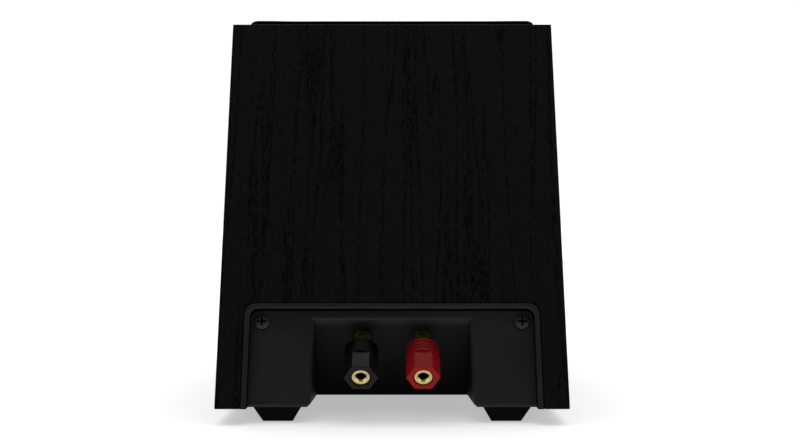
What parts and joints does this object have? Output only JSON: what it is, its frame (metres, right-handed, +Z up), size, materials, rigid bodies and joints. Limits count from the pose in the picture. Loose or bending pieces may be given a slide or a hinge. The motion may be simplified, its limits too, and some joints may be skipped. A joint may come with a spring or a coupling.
{
  "type": "bookshelf speaker",
  "caption": "Wedge-shaped bookshelf speaker with an upward-facing baffle under a lift-off grille and a corner terminal cup with clamping binding posts at its back.",
  "frame": {"origin": "centre of the bounding box, at the bottom of the feet", "axes": "+Z up; +Y from the back to the front, level; +X to the right as seen from behind"},
  "size_m": [0.15, 0.2894, 0.1819],
  "materials": {
    "black_ash_vinyl": "black ash wood-grain vinyl on board",
    "satin_black_baffle": "satin black painted board",
    "bare_mdf": "bare fibreboard",
    "black_moulding": "fine satin moulding",
    "black_foam": "closed-cell foam",
    "black_screws": "black zinc",
    "red_plastic": "gloss",
    "black_plastic": "gloss",
    "gold_brass": "machined and gold plated",
    "zinc_steel": "zinc plated",
    "foot_rubber": "matte",
    "basket_paint": "satin black",
    "ferrite": "matte",
    "cone_polymer": "satin woven-look polymer",
    "surround_rubber": "satin",
    "former_foil": "foil",
    "copper_wire": "enamelled copper wire",
    "spider_cloth": "resin-dipped cloth",
    "faceplate_plastic": "satin",
    "dome_silk": "coated silk",
    "board_laminate": "laminate",
    "standoff_nylon": "nylon",
    "capacitor_film": "wrapped film",
    "resistor_ceramic": "matte",
    "lead_pvc": "soft insulation",
    "wadding": "polyester wadding",
    "grille_board": "matte",
    "grille_fabric": "open-weave polyester",
    "nickel": "nickel plated"
  },
  "bodies": {
    "cabinet": {"acoustic_pad": "wadding", "baffle_magnets": "nickel", "baffle_panel": "satin_black_baffle", "black_lock_nut": "zinc_steel", "black_post_stud": "gold_brass", "black_solder_tab": "zinc_steel", "bottom_panel": "black_ash_vinyl", "cabinet_brace": "bare_mdf", "crossover_board": "board_laminate", "crossover_capacitor": "capacitor_film", "crossover_inductor": "copper_wire", "crossover_resistor": "resistor_ceramic", "crossover_standoffs": "standoff_nylon", "cup_gasket": "black_foam", "cup_screws": "black_screws", "driver_screws": "black_screws", "driver_tags": "board_laminate", "foot_screws": "black_screws", "front_panel": "black_ash_vinyl", "input_leads": "lead_pvc", "left_front_foot": "foot_rubber", "left_rear_foot": "foot_rubber", "left_side_panel": "black_ash_vinyl", "rear_panel": "black_ash_vinyl", "red_lock_nut": "zinc_steel", "red_post_stud": "gold_brass", "red_solder_tab": "zinc_steel", "right_front_foot": "foot_rubber", "right_rear_foot": "foot_rubber", "right_side_panel": "black_ash_vinyl", "terminal_cup": "black_moulding", "tweeter_faceplate": "faceplate_plastic", "tweeter_leads": "lead_pvc", "tweeter_magnet": "ferrite", "tweeter_surround": "dome_silk", "tweeter_top_plate": "zinc_steel", "tweeter_yoke": "zinc_steel", "woofer_basket": "basket_paint", "woofer_leads": "lead_pvc", "woofer_magnet": "ferrite", "woofer_spider": "spider_cloth", "woofer_surround": "surround_rubber", "woofer_top_plate": "zinc_steel", "woofer_yoke": "zinc_steel"},
    "grille": {"grille_frame": "grille_board", "grille_cloth": "grille_fabric", "grille_magnets": "nickel"},
    "woofer_moving": {"woofer_cone": "cone_polymer", "woofer_dust_cap": "cone_polymer", "woofer_coil_former": "former_foil", "woofer_coil_winding": "copper_wire"},
    "tweeter_moving": {"tweeter_dome": "dome_silk", "tweeter_voice_coil": "former_foil"},
    "red_washer": {"red_clamp_washer": "gold_brass"},
    "red_nut": {"red_nut_cap": "red_plastic", "red_nut_insert": "gold_brass"},
    "black_washer": {"black_clamp_washer": "gold_brass"},
    "black_nut": {"black_nut_cap": "black_plastic", "black_nut_insert": "gold_brass"}
  },
  "joints": [
    {"name": "grille_pull", "type": "slide", "parent": "cabinet", "child": "grille", "axis": [0, 0.342, 0.9397], "range_m": [0, 0.04]},
    {"name": "woofer_excursion", "type": "slide", "parent": "cabinet", "child": "woofer_moving", "axis": [0, 0.342, 0.9397], "range_m": [-0.003, 0.003], "stiffness_N_per_m": 1000, "deforming": ["woofer_surround", "woofer_spider"]},
    {"name": "tweeter_excursion", "type": "slide", "parent": "cabinet", "child": "tweeter_moving", "axis": [0, 0.342, 0.9397], "range_m": [-0.0003, 0.0003], "stiffness_N_per_m": 1000, "deforming": ["tweeter_surround"]},
    {"name": "red_nut_travel", "type": "slide", "parent": "cabinet", "child": "red_washer", "axis": [0, -0.8192, -0.5736], "range_m": [-0.008, 0.003]},
    {"name": "red_nut_spin", "type": "hinge", "parent": "red_washer", "child": "red_nut", "pos_m": [0.01325, -0.11922, 0.03503], "axis": [0, -0.8192, -0.5736], "range_deg": [-2880, 1080]},
    {"name": "black_nut_travel", "type": "slide", "parent": "cabinet", "child": "black_washer", "axis": [0, -0.8192, -0.5736], "range_m": [-0.008, 0.003]},
    {"name": "black_nut_spin", "type": "hinge", "parent": "black_washer", "child": "black_nut", "pos_m": [-0.01325, -0.11922, 0.03503], "axis": [0, -0.8192, -0.5736], "range_deg": [-2880, 1080]}
  ],
  "couplings": [
    {"joint": "red_nut_travel", "follows": "red_nut_spin", "m_per_rad": 0.00015915},
    {"joint": "black_nut_travel", "follows": "black_nut_spin", "m_per_rad": 0.00015915}
  ]
}
